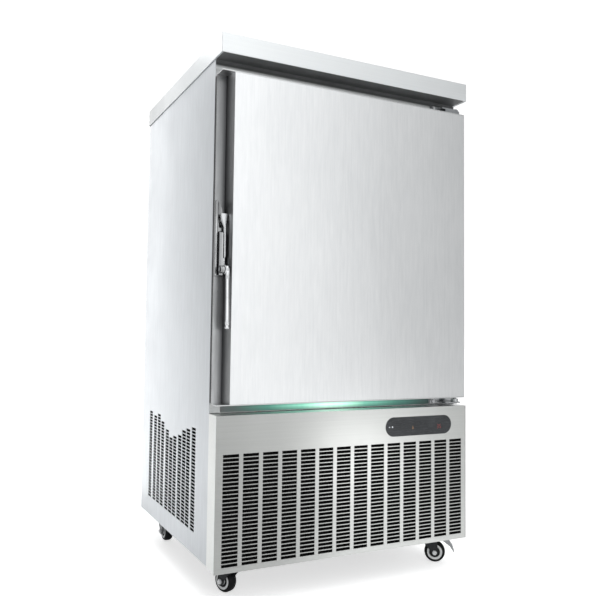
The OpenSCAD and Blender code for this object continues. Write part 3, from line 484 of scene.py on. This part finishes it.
for k in CAST:
    M["wheel_" + k] = wheel_material(k)
    # painted light: the rear-left fork gets a lighter grey than the other three, a lit copy of the same fork paint
    M["fork_" + k] = fork_material(k, (0.20, 0.205, 0.21) if k == "rl" else (0.030, 0.032, 0.034))
M["tongue"] = sheen_steel("brake_tongue", (0.36, 0.37, 0.38), 0.34, 0.9, 0.2)
M["block"] = sheen_steel("hinge_block", (0.30, 0.31, 0.32), 0.34, 1.0, 0.2)
M["leaf"] = sheen_steel("hinge_leaf", (0.44, 0.45, 0.46), 0.17, 1.0, 0.12)

USE = {
    "worktop": "top", "worktop_core": "board", "left_side_panel": "side", "right_side_panel": "side", "rear_upper_panel": "rear",
    "rear_vent_panel": "galv", "front_frame": "frame", "base_plate": "galv_dark", "base_rails": "galv_dark", "cabinet_foam": "foam",
    "inner_liner": "inner", "lower_front_panel": "low", "control_window": "window", "control_board": "circuit",
    "status_light_bar": "light", "upper_hinge_bracket": "block", "lower_hinge_bracket": "leaf", "hinge_pins": "block",
    "strike_plate": "zinc", "door_skin": "door", "door_channel": "channel", "door_foam": "foam", "door_inner_pan": "inner",
    "door_top_cap": "cap", "door_bottom_cap": "cap", "door_gasket": "seal", "door_bushes": "white", "latch_housing": "latch",
    "latch_lever": "chrome", "latch_pin": "block", "latch_bolt": "chrome", "tray_rack_left": "rack", "tray_rack_right": "rack",
    "evaporator_cover": "inner", "evaporator_coil": "fins", "evap_fan_motors": "dark", "evap_fan_upper": "black",
    "evap_fan_lower": "black", "fan_guards": "chrome", "compressor": "paint", "condenser_coil": "fins_black_for_shade", "condenser_shroud": "galv",
    "condenser_fan": "black", "condenser_fan_motor": "dark", "electrical_box": "zinc", "liquid_receiver": "paint",
    "refrigerant_pipes": "copper", "castor_plates": "zinc", "castor_fork_fl": "fork_fl", "castor_fork_fr": "fork_fr",
    "castor_fork_rl": "fork_rl", "castor_fork_rr": "fork_rr", "castor_wheel_fl": "wheel_fl", "castor_wheel_fr": "wheel_fr",
    "castor_wheel_rl": "wheel_rl", "castor_wheel_rr": "wheel_rr", "brake_pedal_fr": "tongue", "brake_pedal_rr": "tongue",
    "panel_screws": "zinc", "cable_gland": "black",
}
for name, key in USE.items():
    o = N[name]
    if not o.data.materials:
        o.data.materials.append(M[key].m)
    for i in range(len(o.material_slots)):
        o.material_slots[i].material = M[key].m

# ---------------------------------------------------------------- softened edges on the carried-over nodes
# metres of bevel; sheet edges get less than castings
BEVEL = {
    "worktop": 0.0012, "worktop_core": 0.0008, "left_side_panel": 0.00016, "right_side_panel": 0.00016, "rear_upper_panel": 0.0004,
    "rear_vent_panel": 0.0003, "front_frame": 0.0004, "base_plate": 0.0004, "base_rails": 0.0006, "lower_front_panel": 0.00014,
    "control_window": 0.0007, "control_board": 0.0003, "status_light_bar": 0.0006, "upper_hinge_bracket": 0.0009,
    "lower_hinge_bracket": 0.0008, "hinge_pins": 0.0006, "strike_plate": 0.0006, "door_skin": 0.0004, "door_channel": 0.0004,
    "door_inner_pan": 0.0004, "door_top_cap": 0.0007, "door_bottom_cap": 0.0007, "door_gasket": 0.0020, "door_bushes": 0.0005,
    "latch_housing": 0.0011, "latch_lever": 0.0016, "latch_pin": 0.0006, "latch_bolt": 0.0010, "tray_rack_left": 0.0006,
    "tray_rack_right": 0.0006, "evap_fan_upper": 0.0005, "evap_fan_lower": 0.0005, "compressor": 0.0012, "electrical_box": 0.0015,
    "castor_plates": 0.0005, "castor_fork_fl": 0.0006, "castor_fork_fr": 0.0006, "castor_fork_rl": 0.0006, "castor_fork_rr": 0.0006,
    "brake_pedal_fr": 0.0006, "brake_pedal_rr": 0.0006, "panel_screws": 0.0003, "condenser_fan": 0.0005,
    "condenser_shroud": 0.0005, "evap_fan_motors": 0.0008, "condenser_fan_motor": 0.0008, "inner_liner": 0.0003,
}
for name, w in BEVEL.items():
    o = N[name]
    weld = o.modifiers.new("weld", "WELD")
    weld.merge_threshold = 0.00001
    bev = o.modifiers.new("bevel", "BEVEL")
    bev.width = w
    bev.segments = 2
    bev.limit_method = "ANGLE"
    bev.angle_limit = math.radians(38)
    bev.use_clamp_overlap = True
    wn = o.modifiers.new("normals", "WEIGHTED_NORMAL")
    wn.keep_sharp = True


# ---------------------------------------------------------------- pieces made here
def add_mesh(name, bm, mat, body, smooth=False):
    me = bpy.data.meshes.new(name)
    bmesh.ops.recalc_face_normals(bm, faces=bm.faces)
    bm.to_mesh(me)
    bm.free()
    if smooth:
        for p in me.polygons:
            p.use_smooth = True
    o = bpy.data.objects.new(name, me)
    bpy.context.scene.collection.objects.link(o)
    me.materials.append(mat.m)
    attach(o, body)
    return o


def prism(bm, pts, y0, y1):
    """Closed prism from an outline in X, Z between two Y planes, its front edges chamfered."""
    a = [bm.verts.new((x, y1, z)) for x, z in pts]
    cx = sum(p[0] for p in pts) / len(pts)
    cz = sum(p[1] for p in pts) / len(pts)
    mid = [bm.verts.new((x, y0 + 0.00006, z)) for x, z in pts]
    b = []
    for x, z in pts:
        d = math.hypot(x - cx, z - cz) or 1
        k = max(0.0, 1 - 0.0001 / d)
        b.append(bm.verts.new((cx + (x - cx) * k, y0, cz + (z - cz) * k)))
    n = len(pts)
    bm.faces.new(a)
    bm.faces.new(b[::-1])
    for i in range(n):
        j = (i + 1) % n
        bm.faces.new((a[i], a[j], mid[j], mid[i]))
        bm.faces.new((mid[i], mid[j], b[j], b[i]))


YF = -0.3675
win_front = YF + 0.0002
red = Mat("display_red", Metallic=0.0, Roughness=0.4)
red_n = red.noise((900, 900, 900), 3, 0.5)
red.to("Base Color", red.ramp(red_n, [(0.3, (0.16, 0.02, 0.02)), (0.7, (0.24, 0.035, 0.03))]))
red.to("Emission Color", red.ramp(red_n, [(0.3, (0.50, 0.085, 0.075)), (0.7, (0.72, 0.13, 0.11))]))
red.b.inputs["Emission Strength"].default_value = 0.13
warm = Mat("display_amber", Metallic=0.0, Roughness=0.4)
warm_n = warm.noise((900, 900, 900), 3, 0.5)
warm.to("Base Color", warm.ramp(warm_n, [(0.3, (0.12, 0.07, 0.04)), (0.7, (0.19, 0.11, 0.06))]))
warm.to("Emission Color", warm.ramp(warm_n, [(0.3, (0.30, 0.16, 0.08)), (0.7, (0.42, 0.23, 0.12))]))
warm.b.inputs["Emission Strength"].default_value = 0.10
pale = Mat("display_white", Metallic=0.0, Roughness=0.35)
pale_n = pale.noise((900, 900, 900), 3, 0.5)
pale.to("Base Color", pale.ramp(pale_n, [(0.3, (0.7, 0.72, 0.75)), (0.7, (0.9, 0.92, 0.95))]))
pale.to("Emission Color", pale.ramp(pale_n, [(0.3, (0.75, 0.8, 0.9)), (0.7, (0.95, 1.0, 1.0))]))
pale.b.inputs["Emission Strength"].default_value = 0.35

SEG = {"a": ((0, 1), (1, 1)), "b": ((1, 1), (1, 0.5)), "c": ((1, 0.5), (1, 0)), "d": ((0, 0), (1, 0)), "e": ((0, 0.5), (0, 0)),
       "f": ((0, 1), (0, 0.5)), "g": ((0, 0.5), (1, 0.5))}
DIG = {"-": "g", "1": "bc", "8": "abcdefg", "0": "abcdef", "2": "abged", "3": "abgcd", "5": "afgcd"}


def digit(bm, ch, x, z, w, h, t):
    for s in DIG[ch]:
        (u0, v0), (u1, v1) = SEG[s]
        ax, az, bx_, bz = x + u0 * w, z + v0 * h, x + u1 * w, z + v1 * h
        d = Vector((bx_ - ax, 0, bz - az))
        u = d.normalized()
        p = Vector((-u.z, 0, u.x)) * (t / 2)
        a = Vector((ax, 0, az)) + u * (t * 0.35)
        b = Vector((bx_, 0, bz)) - u * (t * 0.35)
        tip = u * (t / 2)
        pts = [a, a + tip + p, b - tip + p, b, b - tip - p, a + tip - p]
        prism(bm, [(q.x, q.z) for q in pts], win_front - 0.00012, win_front + 0.0002)


bm = bmesh.new()
digit(bm, "3", 0.2893, 0.4165, 0.0052, 0.0105, 0.0015)
digit(bm, "5", 0.2980, 0.4165, 0.0052, 0.0105, 0.0015)
add_mesh("display_digits", bm, red, "cabinet")

bm = bmesh.new()
# a small flame shaped lamp
prism(bm, [(0.2008, 0.4175), (0.2052, 0.4175), (0.2062, 0.4205), (0.2048, 0.4240), (0.2030, 0.4285), (0.2012, 0.4240), (0.1998, 0.4205)],
      win_front - 0.00012, win_front + 0.0002)
add_mesh("display_lamp", bm, warm, "cabinet")

bm = bmesh.new()
for cx, r in ((0.1225, 0.0016), (0.1325, 0.0021)):
    prism(bm, [(cx + r * math.cos(k * math.pi / 8), 0.4265 + r * math.sin(k * math.pi / 8)) for k in range(16)],
          win_front - 0.00012, win_front + 0.0002)
add_mesh("display_dots", bm, pale, "cabinet")

def spline(rows, steps):
    """Catmull-Rom through rows of numbers."""
    out = []
    for i in range(len(rows) - 1):
        p0, p1, p2, p3 = rows[max(i - 1, 0)], rows[i], rows[i + 1], rows[min(i + 2, len(rows) - 1)]
        for k in range(steps):
            t = k / steps
            out.append([0.5 * (2 * b + (c - a) * t + (2 * a - 5 * b + 4 * c - d) * t * t + (3 * b - a - 3 * c + d) * t ** 3)
                        for a, b, c, d in zip(p0, p1, p2, p3)])
    return out + [list(rows[-1])]


def ring(c, u, v, a, b, power=2.4, n=28):
    """Points of a rounded rectangle: half sizes a along u and b along v."""
    pts = []
    for k in range(n):
        t = 2 * math.pi * k / n
        ct, st = math.cos(t), math.sin(t)
        pts.append(c + u * (a * math.copysign(abs(ct) ** (2 / power), ct)) + v * (b * math.copysign(abs(st) ** (2 / power), st)))
    return pts


def loft(bm, rings, closed=False):
    rows = [[bm.verts.new(p) for p in r] for r in rings]
    n = len(rows[0])
    pairs = list(zip(rows, rows[1:])) + ([(rows[-1], rows[0])] if closed else [])
    for a, b in pairs:
        for i in range(n):
            j = (i + 1) % n
            bm.faces.new((a[i], a[j], b[j], b[i]))
    if not closed:
        bm.faces.new(rows[0][::-1])
        bm.faces.new(rows[-1])


AX, AY, AZ = Vector((1, 0, 0)), Vector((0, 1, 0)), Vector((0, 0, 1))
MM = 0.001


def latch_point(x, y, z):
    """x and z in millimetres in the frame, y in millimetres behind the front plane."""
    return Vector((x * MM, YF + y * MM, z * MM))


# the lever: a turned hub with a bore, and a slender bowed handle that ends in a small ball
bm = bmesh.new()
hub = [(-378.6, 3.05), (-378.6, 10.6), (-378.3, 11.5), (-377.6, 12.1), (-376.6, 12.4), (-375.2, 12.4), (-374.4, 11.9), (-373.2, 11.9),
       (-372.4, 12.4), (-371.0, 12.4), (-370.0, 12.1), (-369.3, 11.4), (-369.1, 10.4), (-369.1, 7.4), (-369.6, 6.6), (-369.6, 3.05)]
loft(bm, [ring(latch_point(x, 15, 850), AY, AZ, r * MM, r * MM, 2.0, 40) for x, r in hub], closed=True)
path = [(7.2, 856.5, 1.6, 0.9), (6.9, 855.4, 3.3, 1.9), (6.6, 852, 4.7, 2.7), (6.8, 846, 5.1, 3.3), (7.4, 836, 4.9, 3.5), (7.9, 824, 4.3, 3.2),
        (7.9, 812, 4.2, 3.2), (7.3, 796, 4.3, 3.4), (6.2, 768, 4.5, 3.5), (5.1, 738, 4.8, 3.6), (4.7, 716, 5.0, 3.4), (4.8, 709.5, 4.4, 3.0),
        (5.0, 707, 3.9, 2.7), (5.2, 705.4, 4.3, 3.3), (5.4, 702.6, 5.1, 4.4), (5.4, 699.6, 5.0, 4.3), (5.4, 697.6, 3.4, 2.9), (5.4, 696.8, 1.4, 1.2)]
loft(bm, [ring(latch_point(-371.4, y, z), AX, AY, a * 1.19 * MM, b * MM, 2.5) for y, z, a, b in spline(path, 3)])
lever = add_mesh("latch_lever_smooth", bm, M["chrome"], "latch_lever", True)
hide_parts("latch_lever")

# the sliding bar: a dished goblet head that narrows to a slim stem, the tail behind the hub and the hooked finger
bm = bmesh.new()
head = [(-378.5, 984.0, 1.2, 0.5), (-378.5, 984.4, 4.6, 1.6), (-378.5, 989.0, 7.2, 2.6), (-378.5, 994.6, 8.6, 3.2), (-378.5, 996.0, 9.3, 3.6),
        (-378.5, 995.4, 9.9, 4.0), (-378.5, 992.0, 9.9, 4.0), (-378.4, 986.0, 9.2, 4.0), (-378.0, 978.0, 7.8, 3.9), (-376.9, 969.0, 5.5, 3.6),
        (-375.6, 961.5, 3.8, 3.4), (-375.3, 955.0, 3.4, 3.2), (-374.9, 938.0, 3.0, 3.0), (-374.8, 915.0, 2.8, 2.9), (-374.8, 896.0, 3.0, 3.4), (-374.8, 888.0, 3.2, 3.9),
        (-374.8, 883.0, 2.9, 3.5), (-374.8, 880.6, 1.8, 2.2)]
rows = head[:5] + spline(head[5:], 3)
loft(bm, [ring(latch_point(x, 23.5, z), AX, AY, a * MM, b * MM, 2.7) for x, z, a, b in rows])
loft(bm, [ring(latch_point(-375, 29.0, z), AX, AY, a * MM, b * MM, 5.0)
          for z, a, b in ((846.1, 2.3, 2.7), (846.9, 2.9, 3.3), (889.5, 2.9, 3.3), (891.2, 2.6, 3.0), (891.9, 1.8, 2.2))])
loft(bm, [ring(latch_point(x, y, 978), AX, AZ, a * MM, 2.9 * MM, 5.0)
          for x, y, a in ((-380.0, 22.6, 2.0), (-382.6, 25.2, 2.4), (-384.0, 28.4, 2.45), (-384.0, 53.9, 2.45), (-384.0, 54.3, 2.1))])
loft(bm, [ring(latch_point(-384, 52.9, z), AX, AY, a * MM, b * MM, 5.0)
          for z, a, b in ((979.0, 2.4, 1.4), (988.6, 2.4, 1.4), (989.4, 1.9, 1.0))])
bar = add_mesh("latch_bar_smooth", bm, M["chrome_bar"], "latch_bolt", True)
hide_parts("latch_bolt")

# pleated dust filters behind the vents, coloured near black as painted shade: the slots show nothing but black behind
# them
def pleated(name, origin, along, depth, length, z0, z1, pitch, fold, mat):
    """Zigzag sheet with thickness: along is the run direction, depth the direction of the folds."""
    bm = bmesh.new()
    o_, u, d = Vector(origin), Vector(along), Vector(depth)
    n = int(length / pitch)
    rows = []
    for side in (0.0, 0.0005):
        for z in (z0, z1):
            rows.append([bm.verts.new(tuple(o_ + u * (i * pitch) + d * ((fold if i % 2 else 0.0) + side) + Vector((0, 0, z)))) for i in range(n + 1)])
    for i in range(n):
        bm.faces.new((rows[0][i], rows[0][i + 1], rows[1][i + 1], rows[1][i]))
        bm.faces.new((rows[2][i + 1], rows[2][i], rows[3][i], rows[3][i + 1]))
        bm.faces.new((rows[0][i + 1], rows[0][i], rows[2][i], rows[2][i + 1]))
        bm.faces.new((rows[1][i], rows[1][i + 1], rows[3][i + 1], rows[3][i]))
    for i in (0, n):
        bm.faces.new((rows[0][i], rows[1][i], rows[3][i], rows[2][i]))
    return add_mesh(name, bm, mat, "cabinet")


filter_shade_mat = Mat("filter_black_as_shade", Metallic=0.0, Roughness=0.9)
weave = filter_shade_mat.voronoi((620, 620, 620))
# painted shade: the filter's near-black colour
filter_shade_mat.to("Base Color", filter_shade_mat.ramp(weave, [(0.1, (0.001, 0.001, 0.001)), (0.5, (0.003, 0.003, 0.003)), (0.9, (0.008, 0.008, 0.008))]))
filter_shade_mat.b.inputs["Specular IOR Level"].default_value = 0.06
filter_shade_mat.to("Normal", filter_shade_mat.bump(weave, 0.0006, 0.5))
pleated("front_filter", (-0.392, YF + 0.0042, 0), (1, 0, 0), (0, 1, 0), 0.784, 0.098, 0.398, 0.004, 0.003, filter_shade_mat)
for sx, nm in ((-1, "left_filter"), (1, "right_filter")):
    pleated(nm, (sx * 0.3948, YF + 0.160, 0), (0, 1, 0), (-sx, 0, 0), 0.490, 0.140, 0.440, 0.004, 0.003, filter_shade_mat)

# ---------------------------------------------------------------- stage, light, camera
FLOOR_LIFT = 0.62
floor_mat = Mat("floor", Metallic=0.0, Roughness=0.6)
fn = floor_mat.noise((3, 3, 3), 4, 0.5)
floor_mat.to("Base Color", floor_mat.ramp(fn, [(0.3, (0.90, 0.90, 0.90)), (0.7, (0.93, 0.93, 0.93))]))
floor_mat.b.inputs["Emission Color"].default_value = (1, 1, 1, 1)
flp = floor_mat.t.nodes.new("ShaderNodeLightPath")
floor_mat.to("Emission Strength", floor_mat.math("ADD", floor_mat.math("MULTIPLY", flp.outputs["Is Camera Ray"], FLOOR_LIFT),
                                                 floor_mat.math("MULTIPLY", flp.outputs["Is Glossy Ray"], 0.14)))
bm = bmesh.new()
bmesh.ops.create_grid(bm, x_segments=1, y_segments=1, size=30)
me = bpy.data.meshes.new("floor")
bm.to_mesh(me)
bm.free()
floor = bpy.data.objects.new("floor", me)
bpy.context.scene.collection.objects.link(floor)
me.materials.append(floor_mat.m)

SKY_LEVEL = 0.85
world = bpy.data.worlds.new("studio")
bpy.context.scene.world = world
world.use_nodes = True
wt = world.node_tree
wt.nodes.clear()
wo = wt.nodes.new("ShaderNodeOutputWorld")
bg_cam = wt.nodes.new("ShaderNodeBackground")
bg_cam.inputs["Color"].default_value = (1, 1, 1, 1)
bg_cam.inputs["Strength"].default_value = 1.1
bg = wt.nodes.new("ShaderNodeBackground")
# light by compass direction: 0 is in front of the door, 90 to its right
SKY = [(-180, 0.95), (-165, 0.85), (-155, 0.72), (-140, 0.35), (-115, 0.20), (-80, 0.34), (-40, 0.8), (-10, 1.35), (8, 1.8),
       (20, 1.7), (34, 0.85), (48, 0.55), (90, 0.45), (140, 0.8), (180, 0.95)]
wtc = wt.nodes.new("ShaderNodeTexCoord")
wsep = wt.nodes.new("ShaderNodeSeparateXYZ")
wt.links.new(wtc.outputs["Generated"], wsep.inputs[0])
wneg = wt.nodes.new("ShaderNodeMath")
wneg.operation = "MULTIPLY"
wneg.inputs[1].default_value = -1.0
wt.links.new(wsep.outputs[1], wneg.inputs[0])
waz = wt.nodes.new("ShaderNodeMath")
waz.operation = "ARCTAN2"
wt.links.new(wsep.outputs[0], waz.inputs[0])
wt.links.new(wneg.outputs[0], waz.inputs[1])
wfac = wt.nodes.new("ShaderNodeMapRange")
wfac.inputs["From Min"].default_value = -math.pi
wfac.inputs["From Max"].default_value = math.pi
wt.links.new(waz.outputs[0], wfac.inputs["Value"])
wr = wt.nodes.new("ShaderNodeValToRGB")
wr.color_ramp.interpolation = "EASE"
els = wr.color_ramp.elements
while len(els) < len(SKY):
    els.new(0.5)
for i, (deg, v) in enumerate(SKY):
    els[i].position = (deg + 180) / 360
    els[i].color = (v * 0.985 / 2, v * 0.995 / 2, v / 2, 1)
wt.links.new(wfac.outputs[0], wr.inputs[0])
wt.links.new(wr.outputs[0], bg.inputs["Color"])
bg.inputs["Strength"].default_value = 2.0 * SKY_LEVEL
lp = wt.nodes.new("ShaderNodeLightPath")
mx = wt.nodes.new("ShaderNodeMixShader")
wt.links.new(lp.outputs["Is Camera Ray"], mx.inputs[0])
wt.links.new(bg.outputs[0], mx.inputs[1])
wt.links.new(bg_cam.outputs[0], mx.inputs[2])
wt.links.new(mx.outputs[0], wo.inputs["Surface"])


def area(name, loc, aim, size, energy, color=(1, 1, 1), camera=False):
    d = bpy.data.lights.new(name, "AREA")
    d.shape = "RECTANGLE"
    d.size, d.size_y = size
    d.energy = energy
    d.color = color
    o = bpy.data.objects.new(name, d)
    bpy.context.scene.collection.objects.link(o)
    o.location = loc
    o.rotation_mode = "QUATERNION"
    o.rotation_quaternion = (Vector(aim) - Vector(loc)).to_track_quat("-Z", "Y")
    o.visible_camera = camera
    return o


# soft boxes: radiance times pi times area gives the watts
def box_light(name, loc, aim, size, radiance, **kw):
    return area(name, loc, aim, size, radiance * math.pi * size[0] * size[1], **kw)


box_light("top_fill", (-0.3, -0.6, 4.0), (0.0, 0.0, 0.5), (4.0, 4.0), 0.9)
box_light("kicker", (0.57, -1.3, 0.16), (0.3, -0.3, 0.16), (0.34, 0.26), 1.5)
box_light("rear_card", (-0.53, 1.0, 0.9), (-0.45, 0.0, 0.85), (0.26, 2.0), 1.5)
box_light("high_card", (-0.80, 1.0, 2.22), (-0.4, -0.2, 1.44), (0.5, 0.40), 2.6)
box_light("front_low", (0.40, -2.2, 0.42), (0.0, -0.4, 0.55), (0.9, 0.36), 0.35)

CX, CY, CZ = -0.99967, -2.02297, 0.68383
yaw, pitch, roll = 0.4660, 0.0538, 0.0123
fwd = Vector((math.sin(yaw) * math.cos(pitch), math.cos(yaw) * math.cos(pitch), math.sin(pitch)))
right = Vector((math.cos(yaw), -math.sin(yaw), 0))
up = right.cross(fwd)
rx = right * math.cos(roll) + up * math.sin(roll)
ux = -right * math.sin(roll) + up * math.cos(roll)
cam_data = bpy.data.cameras.new("camera")
cam_data.sensor_width = 36.0
cam_data.lens = 41.611
cam_data.clip_start = 0.02
cam_data.clip_end = 100
cam = bpy.data.objects.new("camera", cam_data)
bpy.context.scene.collection.objects.link(cam)
cam.matrix_world = Matrix(((rx.x, ux.x, -fwd.x, CX), (rx.y, ux.y, -fwd.y, CY), (rx.z, ux.z, -fwd.z, CZ), (0, 0, 0, 1)))
bpy.context.scene.camera = cam
bpy.context.scene.view_settings.view_transform = "Standard"
bpy.context.scene.view_settings.look = "None"
